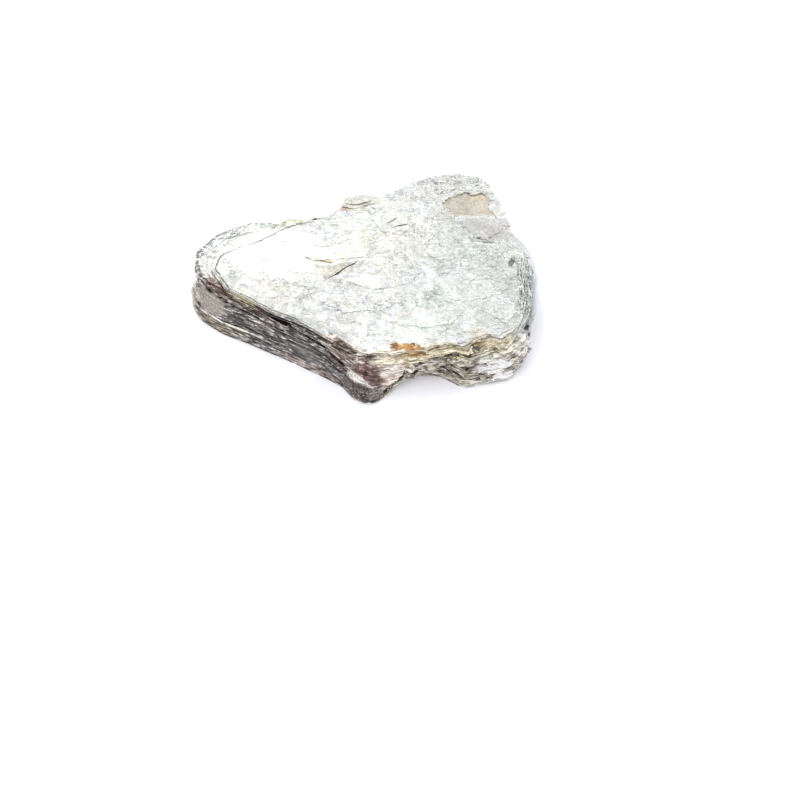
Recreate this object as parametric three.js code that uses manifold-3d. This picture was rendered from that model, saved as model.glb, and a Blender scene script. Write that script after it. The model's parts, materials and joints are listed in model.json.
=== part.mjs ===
// A muscovite mica book: one crystal, grown as a stack of cleavage sheets that all lie flat on each other.
// Millimetres, +Z up. It rests on its lowest sheet, with the origin under the middle of its box.
// The broad bright cleavage face is on top, and the long dark crystal face looks towards -X and -Y.

import * as THREE from "three";
import { mergeVertices } from "three/addons/utils/BufferGeometryUtils.js";
import Module from "manifold-3d";

// Driving dimensions.
const WIDTH = 90; // along X
const DEPTH = 78; // along Y
const BOOK = 12.9; // height of the sheets that reach the whole outline
const EDGE_STEP = 2.8; // longest straight piece of a sheet's edge
const BITE = 0.02; // how far each sheet reaches into the one below, so that they join
const PEEL_DEPTH = 0.35; // of the shallow place where a flake has come off the top
const CRYSTAL_FACE = -130; // degrees round from +X, the way that the long crystal face looks

// The book seen from above, anticlockwise from the knob at the front, in shares of half the width and depth.
const PLAN = [
  [0.03, -0.92], [0.12, -0.89], [0.2, -0.81], [0.3, -0.75], [0.43, -0.75], [0.54, -0.82], [0.67, -0.8],
  [0.81, -0.74], [0.91, -0.62], [0.95, -0.44], [0.98, -0.25], [0.98, 0], [0.95, 0.21], [0.89, 0.37],
  [0.85, 0.55], [0.8, 0.73], [0.76, 0.92], [0.65, 1.02], [0.49, 1.06], [0.35, 1], [0.21, 0.86],
  [0.06, 0.76], [0.01, 0.71], [-0.1, 0.75], [-0.18, 0.62], [-0.28, 0.52], [-0.41, 0.5], [-0.53, 0.45],
  [-0.69, 0.45], [-0.84, 0.35], [-0.95, 0.18], [-1, 0.02], [-0.98, -0.11], [-0.91, -0.21],
  [-0.8, -0.29], [-0.62, -0.41], [-0.42, -0.55], [-0.25, -0.68], [-0.14, -0.78], [-0.06, -0.87],
];

// The packets of sheets from the floor up: thickness, how far the edge stands back, and how ragged it broke.
const PACKETS = [
  { thick: 0.9, back: 1.1, ragged: 0.7 },
  { thick: 1.4, back: 0.1, ragged: 0.5 },
  { thick: 1.0, back: 0.6, ragged: 0.9 },
  { thick: 1.3, back: 0.0, ragged: 0.6 },
  { thick: 0.7, back: 0.9, ragged: 1.0 },
  { thick: 1.5, back: 0.2, ragged: 0.6 },
  { thick: 0.8, back: 0.8, ragged: 1.1 },
  { thick: 1.2, back: 0.1, ragged: 0.6 },
  { thick: 0.5, back: 1.3, ragged: 0.8 },
  { thick: 1.3, back: 0.3, ragged: 0.7 },
  { thick: 0.9, back: 0.9, ragged: 0.9 },
  { thick: 1.4, back: 0.4, ragged: 0.6 },
];

// Where the book swells or is worn back: middle and half width in degrees round from +X, heights, and mm outwards.
const SWELLS = [
  { at: -173, wide: 20, from: 0.5, to: 8.5, out: 1.4 }, // the rounded foot of the left end
  { at: 172, wide: 24, from: 8.5, to: 10.2, out: -1.6 }, // the waist above it
  { at: -89, wide: 14, from: 0, to: 6.5, out: 0.9 }, // the knob's foot
  { at: -60, wide: 20, from: 0, to: 5.5, out: -2.6 }, // the hollow under the front
  { at: -62, wide: 16, from: 9.5, to: BOOK, out: 2.6 }, // the sheets that hang over it
  { at: -33, wide: 16, from: 3, to: 9.5, out: 1.2 }, // the lumps at the right front
  { at: 95, wide: 30, from: 0, to: 5, out: -1.6 }, // the far side, worn back at its foot
];

// Sheets left on top of the packets, in shares of half the width and depth: each a packet of its own outline.
const UPPER_SHEETS = [
  {
    name: "main sheets",
    from: BOOK,
    thick: 1.3,
    outline: [
      [-0.89, -0.02], [-0.85, 0.12], [-0.76, 0.2], [-0.64, 0.28], [-0.53, 0.39], [-0.41, 0.49], [-0.28, 0.51],
      [-0.17, 0.6], [-0.11, 0.72], [0.02, 0.7], [0.2, 0.84], [0.33, 0.93], [0.37, 0.84], [0.41, 0.66],
      [0.52, 0.5], [0.62, 0.32], [0.77, 0.26], [0.93, 0.15], [0.95, -0.05], [0.93, -0.3], [0.9, -0.54],
      [0.82, -0.69], [0.72, -0.72], [0.58, -0.8], [0.5, -0.77], [0.35, -0.82], [0.16, -0.86], [0.05, -0.87],
      [-0.09, -0.82], [-0.2, -0.71], [-0.33, -0.58], [-0.53, -0.45], [-0.66, -0.33], [-0.79, -0.22],
    ],
  },
  {
    name: "broad flake",
    from: BOOK + 1.3,
    thick: 0.3,
    outline: [
      [-0.83, -0.03], [-0.6, 0.22], [-0.36, 0.42], [-0.1, 0.52], [0.18, 0.68], [0.3, 0.5], [0.56, 0.2],
      [0.8, 0], [0.74, -0.3], [0.62, -0.56], [0.3, -0.68], [0.02, -0.74], [-0.2, -0.6], [-0.5, -0.38],
    ],
  },
  {
    name: "far ridge",
    from: BOOK,
    thick: 0.9,
    outline: [
      [0.36, 0.93], [0.48, 1.03], [0.62, 1], [0.72, 0.9], [0.74, 0.79], [0.65, 0.82], [0.55, 0.81], [0.44, 0.72],
    ],
  },
];

// The flake that came off the top, between two cracks.
const PEEL = [
  [-0.35, 0.09], [-0.2, 0.05], [-0.03, 0.09], [-0.09, -0.01], [-0.22, -0.14], [-0.25, -0.05],
];

const wasm = await Module();
wasm.setup();

function solidOf(geometry) {
  const bare = geometry.clone();
  bare.deleteAttribute("normal");
  bare.deleteAttribute("uv");
  const merged = mergeVertices(bare, 1e-4);
  return new wasm.Manifold(
    new wasm.Mesh({
      numProp: 3,
      vertProperties: merged.attributes.position.array,
      triVerts: new Uint32Array(merged.index.array),
    }),
  );
}

function geometryOf(solid) {
  const mesh = solid.getMesh();
  const positions = new Float32Array(mesh.numVert * 3);
  for (let i = 0; i < mesh.numVert; i++) {
    const first = i * mesh.numProp;
    positions.set(mesh.vertProperties.subarray(first, first + 3), i * 3);
  }
  const geometry = new THREE.BufferGeometry();
  geometry.setAttribute("position", new THREE.BufferAttribute(positions, 3));
  geometry.setIndex(new THREE.BufferAttribute(new Uint32Array(mesh.triVerts), 1));
  return geometry;
}

const inMillimetres = (shares) =>
  shares.map(([x, y]) => new THREE.Vector2((x * WIDTH) / 2, (y * DEPTH) / 2));

// A closed outline with every side cut into pieces no longer than EDGE_STEP.
function stepped(corners) {
  return corners.flatMap((corner, i) => {
    const next = corners[(i + 1) % corners.length];
    const pieces = Math.ceil(corner.distanceTo(next) / EDGE_STEP);
    return Array.from({ length: pieces }, (_, k) => corner.clone().lerp(next, k / pieces));
  });
}

// How a packet's edge broke at one place: from -1 to 1, the same each time for the same packet.
function broken(angle, packet) {
  const coarse = Math.sin(7 * angle + 2.4 * packet) + Math.sin(13 * angle - 1.7 * packet);
  const fine = Math.sin(31 * angle + 5.1 * packet) + Math.sin(53 * angle + 3.3 * packet);
  return 0.35 * coarse + 0.15 * fine;
}

// The long crystal face is nearly flat, and the rest is broken.
function rawness(angle) {
  const facing = Math.cos(angle - THREE.MathUtils.degToRad(CRYSTAL_FACE));
  return 1 - 0.8 * THREE.MathUtils.smoothstep(facing, 0.6, 0.85);
}

function swell(angle, height) {
  return SWELLS.reduce((out, place) => {
    const at = THREE.MathUtils.degToRad(place.at);
    const away = Math.abs(Math.atan2(Math.sin(angle - at), Math.cos(angle - at)));
    const share = Math.max(0, 1 - away / THREE.MathUtils.degToRad(place.wide));
    const here = height >= place.from && height <= place.to;
    return out + (here ? place.out * share * share * (3 - 2 * share) : 0);
  }, 0);
}

function packetOutline(packet, index, height) {
  return stepped(inMillimetres(PLAN)).map((point) => {
    const angle = Math.atan2(point.y, point.x);
    const raw = rawness(angle);
    const out = swell(angle, height) - raw * packet.back + raw * packet.ragged * broken(angle, index);
    return point.setLength(point.length() + out);
  });
}

function slab(outline, from, thick) {
  const geometry = new THREE.ExtrudeGeometry(new THREE.Shape(outline), {
    depth: thick,
    bevelEnabled: false,
  });
  return solidOf(geometry.translate(0, 0, from));
}

function book() {
  let height = 0;
  const slabs = PACKETS.map((packet, index) => {
    const outline = packetOutline(packet, index, height + packet.thick / 2);
    const from = Math.max(0, height - BITE);
    height += packet.thick;
    return slab(outline, from, height - from);
  });
  for (const sheet of UPPER_SHEETS) {
    const outline = stepped(inMillimetres(sheet.outline));
    slabs.push(slab(outline, sheet.from - BITE, sheet.thick + BITE));
  }
  const stack = slabs.reduce((joined, next) => joined.add(next));
  const top = stack.boundingBox().max[2];
  return stack.subtract(slab(inMillimetres(PEEL), top - PEEL_DEPTH, 1));
}

// Moves the origin to the middle of the lowest face's height, under the middle of the box.
function stoodOnOrigin(geometry) {
  geometry.computeBoundingBox();
  const { min, max } = geometry.boundingBox;
  return geometry.translate(-(min.x + max.x) / 2, -(min.y + max.y) / 2, -min.z);
}

const mica = new THREE.MeshStandardMaterial({
  color: new THREE.Color().setRGB(0.83, 0.83, 0.79, THREE.SRGBColorSpace),
  roughness: 0.35,
  metalness: 0.1,
  flatShading: true,
});

const crystal = new THREE.Mesh(stoodOnOrigin(geometryOf(book())), mica);
crystal.name = "mica_book";

const part = new THREE.Group();
part.add(crystal);

export default part;
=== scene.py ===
"""A raw muscovite mica book: one crystal made of thin cleavage sheets, lying on its lowest sheet."""

import json
import math
import random

import bpy
import numpy as np
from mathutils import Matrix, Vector

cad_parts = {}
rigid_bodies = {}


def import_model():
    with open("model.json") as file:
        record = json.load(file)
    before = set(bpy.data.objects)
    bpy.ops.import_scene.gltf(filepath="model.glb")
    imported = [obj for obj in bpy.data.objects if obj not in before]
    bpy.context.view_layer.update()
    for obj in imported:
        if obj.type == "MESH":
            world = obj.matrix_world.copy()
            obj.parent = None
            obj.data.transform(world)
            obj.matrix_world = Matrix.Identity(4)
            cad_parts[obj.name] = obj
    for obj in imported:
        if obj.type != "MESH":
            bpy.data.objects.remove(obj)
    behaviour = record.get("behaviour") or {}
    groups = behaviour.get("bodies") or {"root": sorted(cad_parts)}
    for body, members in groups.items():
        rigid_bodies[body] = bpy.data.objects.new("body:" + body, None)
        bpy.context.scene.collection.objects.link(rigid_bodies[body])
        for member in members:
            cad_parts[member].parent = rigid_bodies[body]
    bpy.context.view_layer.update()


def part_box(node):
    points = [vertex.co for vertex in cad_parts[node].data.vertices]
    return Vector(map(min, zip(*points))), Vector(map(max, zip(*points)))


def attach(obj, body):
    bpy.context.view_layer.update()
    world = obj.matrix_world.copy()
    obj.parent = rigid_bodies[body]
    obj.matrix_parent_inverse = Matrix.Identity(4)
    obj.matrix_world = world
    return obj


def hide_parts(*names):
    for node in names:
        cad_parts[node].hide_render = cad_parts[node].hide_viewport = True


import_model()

MM = 0.001
low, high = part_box("mica_book")
HALF_LONG = (high.x - low.x) / 2 / MM
HALF_DEEP = (high.y - low.y) / 2 / MM
TOP = high.z / MM  # the cleavage face that looks up
BOOK = 0.89 * TOP  # the sheets that reach the whole outline, up to the ledge round the left end
MAIN = 0.975 * TOP  # top of the main sheets, under the last flakes

# The crystal seen from above, in percent of its half length and half depth.
# Anticlockwise from the knob at the front: at its foot, and just under the top face.
FOOT_EDGE = [
    (1, -100), (6, -100), (14, -93), (21, -84), (31, -77), (45, -77), (55, -86), (61, -87), (73, -82),
    (83, -77), (88, -68), (93, -54), (94, -30), (92, 0), (89, 18), (83, 38), (79, 57), (73, 77), (64, 89),
    (53, 93), (42, 90), (32, 82), (20, 72), (6, 60), (-10, 60), (-20, 47), (-34, 40), (-50, 38), (-66, 39),
    (-78, 34), (-90, 24), (-98, 14), (-100, 5), (-99, -8), (-93, -20), (-81, -32), (-62, -44), (-41, -60),
    (-20, -76), (-10, -86), (-4, -96),
]
BROW_EDGE = [
    (8, -93), (17, -94), (36, -89), (50, -85), (58, -88), (67, -79), (73, -76), (79, -81), (85, -74),
    (91, -60), (95, -42), (96, -20), (96, 0), (94, 14), (87, 39), (83, 57), (77, 83), (68, 95), (56, 100),
    (42, 97), (32, 90), (21, 80), (8, 71), (3, 66), (-1, 70), (-10, 68), (-19, 54), (-33, 46), (-44, 46),
    (-56, 44), (-68, 44), (-78, 39), (-88, 29), (-95, 16), (-97, 3), (-96, -8), (-90, -18), (-79, -28),
    (-65, -39), (-52, -51), (-33, -66), (-18, -79), (-4, -91),
]

# Packets of sheets that broke together, from the floor up, in millimetres: thickness, how far back, and how
# ragged.
PACKETS = [
    (0.9, 0.9, 0.7), (1.4, 0.1, 0.5), (1.0, 0.6, 0.9), (1.3, 0.0, 0.6), (0.7, 0.9, 1.0), (1.5, 0.2, 0.6),
    (0.8, 0.8, 1.1), (1.2, 0.1, 0.6), (0.5, 1.2, 0.8), (1.3, 0.3, 0.7), (0.9, 0.8, 0.9), (1.4, 0.2, 0.5),
]

# Where the side swells or is worn back: middle and half width in degrees round, middle and half height in
# millimetres, and how far out.
SWELLS = [
    (-172, 22, 4.6, 3.2, 0.3),  # the rounded foot of the left end
    (178, 26, 10.6, 1.5, -1.5),  # the notch above it
    (176, 30, 8.0, 3.4, -0.9),  # the left end, worn back
    (-156, 30, 13.6, 3.4, -3.0),  # the sheets that step back round the left end
    (-156, 34, 1.8, 2.4, 0.7),  # the worn left foot
    (-88, 13, 2.8, 3.6, 1.2),  # the knob
    (-60, 22, 2.0, 4.0, -1.8),  # the hollow beside the knob
    (-62, 18, 11.5, 2.5, 1.2),  # the sheets that hang over it
    (-38, 13, 8.0, 3.0, 1.9),  # the lumps and the ledge at the right front
    (-38, 15, 12.4, 1.8, -1.8),  # the sheets broken back above that ledge
    (-5, 22, 9.5, 3.5, -1.2),  # the right end, worn back near the top
    (95, 34, 2.5, 3.5, -1.4),  # the far side, worn back at its foot
    (150, 30, 6.5, 2.5, 0.8),  # a fold on the far left
]

# Open crevices between sheets: from and to in degrees round, height at each end, half height, mm deep.
CREVICES = [
    (-150, -127, 13.0, 12.3, 0.75, 2.0),
    (-133, -94, 12.5, 9.7, 0.32, 1.8),
    (-120, -100, 8.7, 8.2, 0.14, 0.9),
    (-158, -132, 10.4, 10.0, 0.14, 0.9),
    (-88, -66, 0.9, 11.0, 0.42, 1.7),
    (-68, -44, 11.1, 12.9, 0.22, 1.5),
    (-66, -58, 8.8, 9.2, 0.22, 1.4),
    (-53, -46, 7.4, 7.9, 0.36, 2.2),
    (-60, -50, 4.0, 4.6, 0.2, 1.2),
    (-74, -62, 5.6, 6.4, 0.20, 1.2),
    (-36, -12, 6.9, 8.2, 0.26, 1.7),
    (-30, 8, 10.6, 9.9, 0.28, 2.2),
    (10, 60, 8.6, 7.4, 0.25, 1.6),
    (40, 100, 4.6, 5.4, 0.25, 1.4),
    (60, 120, 11.2, 10.6, 0.25, 1.8),
    (110, 160, 9.6, 8.8, 0.22, 1.4),
    (170, 205, 10.9, 10.2, 0.18, 0.9),
]

CRYSTAL_FACE = -130  # degrees round: the way that the long crystal face looks
SHEET_THICK = 0.31  # about how thick a sheet of a packet is, in millimetres
CUTTER_TALL = 3  # how tall the cutters of scars are, to reach out of the top


def in_mm(outline):
    return np.array(outline, float) / 100 * (HALF_LONG, HALF_DEEP)


def radius_round(outline):
    """How far a closed outline is from the middle, as a function of the angle."""
    corners = in_mm(outline)
    ends = np.roll(corners, -1, axis=0)
    along = np.linspace(0, 1, 40, endpoint=False)[:, None, None]
    points = (corners + (ends - corners) * along).transpose(1, 0, 2).reshape(-1, 2)
    angles = np.arctan2(points[:, 1], points[:, 0])
    order = np.argsort(angles)
    reach = np.hypot(points[:, 0], points[:, 1])
    return lambda angle: np.interp(angle, angles[order], reach[order], period=2 * math.pi)


foot_radius = radius_round(FOOT_EDGE)
brow_radius = radius_round(BROW_EDGE)


def turned(angle, degrees):
    """The angle from a direction given in degrees, from -180 to 180 degrees."""
    return np.degrees(np.angle(np.exp(1j * (angle - math.radians(degrees)))))


def bump_of(away, half_width):
    share = np.clip(1 - np.abs(away) / half_width, 0, 1)
    return share * share * (3 - 2 * share)


def rawness(angle):
    """0.12 on the crystal face, which is nearly flat, and 1 where the sheets are broken."""
    facing = np.cos(angle - math.radians(CRYSTAL_FACE))
    share = np.clip((facing - 0.62) / 0.22, 0, 1)
    return 1 - 0.88 * share * share * (3 - 2 * share)


def crumbling(angle):
    """How much more the sheets crumble at the right front than elsewhere, from 0 to 1."""
    return bump_of(turned(angle, -42), 48)


def rim_angles():
    """Angles of a sheet's rim points: close where it is ragged, and further apart on the crystal face."""
    fine = np.linspace(-math.pi, math.pi, 20000)
    reach = brow_radius(fine)
    length = np.hypot(np.gradient(reach), reach * np.gradient(fine))
    share = np.cumsum(length / (0.42 + 0.6 * (1 - rawness(fine))))
    return np.interp(np.arange(0, share[-1] - 0.5), share, fine)


ROUND = rim_angles()
GRID = 1.5  # spacing of the cuts that let the upper side undulate
FINE_GRID = 0.8  # the same on the main sheets, which crumple as well
GIRTH = 262.0  # roughly the way round the crystal, in millimetres


def broken(seed, spacing, angle=None):
    """The profile of a broken edge, from -1 to 1: straight pieces between points about spacing apart."""
    rng = np.random.RandomState(seed)
    count = int(GIRTH / spacing)
    knots = np.sort(rng.uniform(-math.pi, math.pi, count))
    heights = rng.uniform(-1, 1, count)
    return np.interp(ROUND if angle is None else angle, knots, heights, period=2 * math.pi)


def straight_side(angle, height):
    """How far out the straight line between foot and brow is at a height."""
    share = height / TOP
    return foot_radius(angle) * (1 - share) + brow_radius(angle) * share


def swell_at(angle, height):
    """How far the side stands out from the straight line between foot and brow, in millimetres."""
    out = np.zeros_like(angle)
    for at, wide, middle, half, reach in SWELLS:
        out += reach * bump_of(turned(angle, at), wide) * bump_of(height - middle, half)
    return out


def crevice_at(angle, height):
    """How deep the crevices cut in at a height, in millimetres."""
    deepest = np.zeros_like(angle)
    for number, (start, end, first, last, half, deep) in enumerate(CREVICES):
        share = turned(angle, start) / (end - start)
        inside = np.clip(np.minimum(share, 1 - share) * 8, 0, 1)
        level = first + (last - first) * share + 0.28 * broken(800 + number, 5, angle)
        deepest = np.maximum(deepest, deep * inside * (np.abs(height - level) < half))
    return deepest


def body_sheets():
    """Height, thickness and rim radius of each sheet that reaches the whole outline."""
    rng = np.random.RandomState(7)
    raw = rawness(ROUND)
    stretch = BOOK / sum(packet[0] for packet in PACKETS)
    height = 0.0
    for number, (thick, back, ragged) in enumerate(PACKETS):
        count = max(2, round(thick / SHEET_THICK))
        cuts = np.sort(rng.uniform(0.12, 0.88, count - 1))
        evened = 0.5 * cuts + 0.5 * np.arange(1, count) / count
        parts = np.diff(np.concatenate([[0], evened, [1]])) * thick * stretch
        packet_break = 0.7 * broken(100 + number, 7) + 0.3 * broken(200 + number, 2.2)
        for part in parts:
            middle = height + part / 2
            seed = int(middle * 100)
            sheet_break = 0.6 * broken(1000 + seed, 3.0) + 0.4 * broken(3000 + seed, 1.1)
            long_wave = broken(5000 + seed, 16)
            rim = straight_side(ROUND, middle) + swell_at(ROUND, middle) - crevice_at(ROUND, middle)
            rim += raw * (ragged * packet_break - back + (0.42 + 0.5 * crumbling(ROUND)) * sheet_break)
            rim += 0.17 * long_wave * (1.25 - raw) + 0.07 * (1 - raw) * sheet_break
            yield height, part, rim
            height += part


def cleared():
    bpy.ops.object.select_all(action="DESELECT")


def cut_in_grid(rim, spacing):
    """Cuts the piece in edit mode along X and Y, so that its faces can undulate."""
    for axis in (0, 1):
        way = [0, 0, 0]
        way[axis] = 1
        first, last = rim[:, axis].min(), rim[:, axis].max()
        for line in range(math.ceil(first / spacing), math.floor(last / spacing) + 1):
            bpy.ops.mesh.select_all(action="SELECT")
            place = [line * spacing * MM * share for share in way]
            bpy.ops.mesh.bisect(plane_co=place, plane_no=way, threshold=1e-7)


def sheet(name, rim, base, thick, grid=None):
    """One sheet of mica: a disc whose rim is pulled to its outline, raised to its thickness."""
    cleared()
    bpy.ops.mesh.primitive_circle_add(vertices=len(rim), radius=HALF_DEEP * MM, fill_type="NGON")
    made = bpy.context.object
    made.name = name
    points = np.column_stack([rim, np.full(len(rim), base)]) * MM
    made.data.vertices.foreach_set("co", points.ravel())
    bpy.ops.object.mode_set(mode="EDIT")
    bpy.ops.mesh.select_all(action="SELECT")
    bpy.ops.mesh.extrude_region_move(TRANSFORM_OT_translate={"value": (0, 0, thick * MM)})
    bpy.ops.mesh.select_all(action="SELECT")
    bpy.ops.mesh.normals_make_consistent(inside=False)
    if grid:
        cut_in_grid(rim, grid)
    bpy.ops.object.mode_set(mode="OBJECT")
    return made


def polar(angle, reach):
    return np.column_stack([np.cos(angle) * reach, np.sin(angle) * reach])


def torn(corners, step, ragged, seed):
    """A closed outline cut into short steps, each moved in or out as a sheet tears. All in millimetres."""
    rng = np.random.RandomState(seed)
    corners = np.array(corners, float)
    points = []
    for start, end in zip(corners, np.roll(corners, -1, axis=0)):
        way = end - start
        count = max(1, int(round(np.hypot(*way) / step)))
        across = np.array([way[1], -way[0]]) / max(np.hypot(*way), 1e-6)
        for k in range(count):
            tear = rng.uniform(-1, 1) * ragged if k else rng.uniform(-0.5, 0.5) * ragged
            points.append(start + way * k / count + across * tear)
    return np.array(points)


def joined(base, others, operation="UNION"):
    """Joins or cuts closed pieces into one closed solid."""
    group = bpy.data.collections.new("joining")
    bpy.context.scene.collection.children.link(group)
    for other in others:
        for holder in other.users_collection:
            holder.objects.unlink(other)
        group.objects.link(other)
    cleared()
    bpy.context.view_layer.objects.active = base
    base.select_set(True)
    step = base.modifiers.new("join", "BOOLEAN")
    step.operation = operation
    step.solver = "MANIFOLD"
    step.operand_type = "COLLECTION"
    step.collection = group
    bpy.ops.object.modifier_apply(modifier=step.name)
    for other in list(group.objects):
        bpy.data.meshes.remove(other.data)
    bpy.data.collections.remove(group)
    return base


# The main sheets, which end short of the rim at the left end, in percent again.
MAIN_EDGE = [
    (-87, -8), (-84, 5), (-74, 14), (-67, 18), (-58, 26), (-52, 33), (-43, 38), (-33, 42), (-25, 43),
    (-17, 51), (-10, 60), (2, 62), (10, 68), (21, 77), (31, 84), (36, 76), (40, 66), (46, 56), (53, 46),
    (58, 34), (65, 24), (74, 20), (82, 20), (93, 12), (94, -10), (92, -36), (90, -56), (84, -68),
    (77, -75.5), (70, -72.5), (62, -76.5), (55, -82), (47, -81), (35, -86), (17, -90), (6, -90), (-4, -89),
    (-18, -78), (-33, -64.5), (-52, -50.5), (-65, -38.5), (-78, -27.5), (-83, -17),
]

main_radius = radius_round(MAIN_EDGE)


def upper_sheets():
    """The main sheets, which end short of the rim at the left end and leave terraces bare at the far end."""
    made = []
    level = BOOK
    thicks = [0.35, 0.3, 0.35, MAIN - BOOK - 1.0]
    for number, (thick, back) in enumerate(zip(thicks, (0.0, 0.4, 0.1, 0.45))):
        raw = rawness(ROUND)
        tear = 0.5 * broken(40 + number, 6) + 0.35 * broken(50 + number, 1.4)
        rim = main_radius(ROUND) - back + raw * (0.75 + crumbling(ROUND)) * tear
        rim += 0.08 * broken(45 + number, 9)
        spacing = FINE_GRID if number == len(thicks) - 1 else GRID
        made.append(sheet("main_sheet", polar(ROUND, rim), level, thick, spacing))
        level += thick
    return made


# Sheets left on the upper side: outline in percent, and in mm its height above BOOK,
# its thickness and how torn it is.
PATCHES = [
    # the rough ridge along the far end
    ([(28, 86), (42, 95), (56, 98), (67, 94), (75, 83), (77, 73), (71, 76), (66, 79), (58, 75.5), (51, 71),
      (45.5, 63), (40, 70), (33, 80)], 0.0, 0.42, 0.4),
    # steps down from the main sheets to the bare terraces
    ([(28, 86), (37, 86), (42, 74), (46, 62), (53, 50), (48, 42), (38, 60)], 0.2, 0.5, 0.3),
    ([(50, 50), (60, 38), (68, 27), (60, 22), (50, 36)], 0.1, 0.6, 0.3),
    # the strip along the right end, beside the bare terraces
    ([(75.5, 78), (80, 66), (84, 50), (85.5, 40), (80, 42), (77.5, 52), (73.5, 60), (74.5, 68),
      (71, 76)], 0.0, 0.28, 0.35),
    # the lower flake between the terraces
    ([(53, 50), (63, 51.5), (74, 52), (82, 44), (80, 36), (70, 25), (60, 30), (54, 40)], 0.0, 0.28, 0.3),
    # flakes on the ledge round the left end
    ([(-80, 26), (-68, 33), (-55, 36), (-50, 42), (-64, 43), (-76, 37)], 0.0, 0.22, 0.25),
    ([(-66, 20), (-56, 27), (-50, 36), (-58, 37), (-66, 30)], 0.0, 0.45, 0.15),
    ([(-46, 37), (-34, 42), (-28, 46), (-36, 45), (-46, 44)], 0.0, 0.75, 0.2),
    # the chip that stands up at the far side, in three layers
    ([(-15, 54), (-4, 54), (7, 58), (8, 68), (-2, 70), (-12, 68)], 0.0, 1.0, 0.25),
    ([(-13, 57), (-5, 55), (6, 60), (5, 66), (-3, 69), (-10, 67)], 1.0, 0.5, 0.3),
    ([(-11, 60), (-4, 58.5), (4, 62), (3, 66.5), (-4, 68), (-9, 66)], 1.5, 0.35, 0.25),
    # broad thin flakes on the main sheets
    ([(-44, 36), (-36, 22), (-24, 14), (-10, 20), (-6, 36), (-14, 46), (-28, 42)], 1.3, 0.07, 0.35),
    ([(4, 44), (10, 30), (22, 26), (30, 38), (26, 52), (14, 54)], 1.3, 0.09, 0.32),
    ([(30, 10), (44, 2), (62, 4), (72, 14), (60, 20), (46, 26), (34, 22)], 1.3, 0.07, 0.35),
    ([(-10, -20), (6, -30), (24, -24), (34, -10), (22, 2), (4, 0)], 1.3, 0.06, 0.35),
    ([(38, -30), (56, -42), (78, -34), (88, -14), (74, -2), (52, -8)], 1.3, 0.08, 0.4),
    ([(14, -60), (34, -66), (50, -62), (56, -50), (38, -44), (20, -46)], 1.3, 0.07, 0.35),
    ([(-56, 2), (-42, -12), (-26, -14), (-30, 6), (-44, 14)], 1.3, 0.05, 0.3),
    ([(-30, -36), (-10, -52), (4, -50), (2, -36), (-14, -28)], 1.3, 0.06, 0.35),
    ([(66, -50), (80, -62), (86, -52), (82, -42), (70, -40)], 1.3, 0.22, 0.25),
]

# What has come off or split open on the upper side: outline in percent, and depth in mm.
SCARS = [
    # the thin flake between the two cracks
    ([(-34, 3.5), (-24, 1), (-10, 3), (0, 4), (-8, -6), (-16, -13), (-22, -19), (-27, -6)], 0.14),
    # the two cracks
    ([(-34.5, 4), (-29, 1.2), (-23.5, 1.2), (-18.5, -1), (-18, -2.2), (-23.5, -0.4), (-29, 0)], 0.6),
    ([(-21.5, -19.5), (-15, -14), (-11, -8.5), (-5, -3), (-2, 3), (-6, -2.2), (-12, -7.5),
      (-15.5, -12.5)], 0.6),
    # splits beside the terraces and the right end
    ([(65, 22.5), (70, 20.5), (76, 20), (76, 18.5), (70, 18.7), (65.5, 20.5)], 0.9),
    ([(81, 23.5), (86, 19), (92, 15.5), (92, 14.5), (86, 17.5)], 0.8),
    ([(82.5, -4.5), (85.5, 0), (84.5, 4.5), (86.5, 5), (87.2, -0.5), (84.5, -5)], 0.9),
    # dents
    ([(11, 37), (15, 40), (18.5, 44), (19, 42.5), (15.5, 38.5)], 0.2),
    ([(14, 33), (19, 36), (25, 37), (25, 36), (19, 34.5)], 0.15),
]


def patches():
    return [
        sheet("patch", torn(in_mm(outline), 0.6, tear, 60 + number), BOOK + above, thick, GRID)
        for number, (outline, above, thick, tear) in enumerate(PATCHES)
    ]


def scars():
    return [
        sheet("scar", torn(in_mm(outline), 0.45, 0.12, 90 + number), MAIN - deep, CUTTER_TALL)
        for number, (outline, deep) in enumerate(SCARS)
    ]


def scale_of_mica(rng, place, size, base, thick):
    """A small torn flake, longer one way than the other."""
    corners = rng.randint(4, 7)
    turn, lean = rng.uniform(0, 2 * math.pi), rng.uniform(0, math.pi)
    longer = rng.uniform(1.0, 2.2)
    outline = []
    for corner in range(corners):
        angle = turn + 2 * math.pi * (corner + rng.uniform(-0.33, 0.33)) / corners
        reach = size * rng.uniform(0.55, 1.2)
        u, v = math.cos(angle) * reach * longer, math.sin(angle) * reach
        across, up = u * math.cos(lean) - v * math.sin(lean), u * math.sin(lean) + v * math.cos(lean)
        outline.append(place + (across, up))
    rim = torn(outline, 0.45, 0.05 + 0.06 * size, rng.randint(0, 10**6))
    return sheet("scale", rim, base, thick, GRID if size > 2.5 else None)


def scattered(count, seed, box, inside, sizes, base, thicks):
    """Scales of mica scattered over part of a sheet. box is in shares, the rest in mm."""
    rng = random.Random(seed)
    made = []
    while len(made) < count:
        x, y = rng.uniform(box[0], box[1]), rng.uniform(box[2], box[3])
        place = np.array((x, y)) * (HALF_LONG, HALF_DEEP)
        size = rng.uniform(*sizes) * (1.8 if rng.random() < 0.15 else 1)
        if inside(place, size):
            made.append(scale_of_mica(rng, place, size, base, rng.uniform(*thicks)))
    return made


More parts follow.
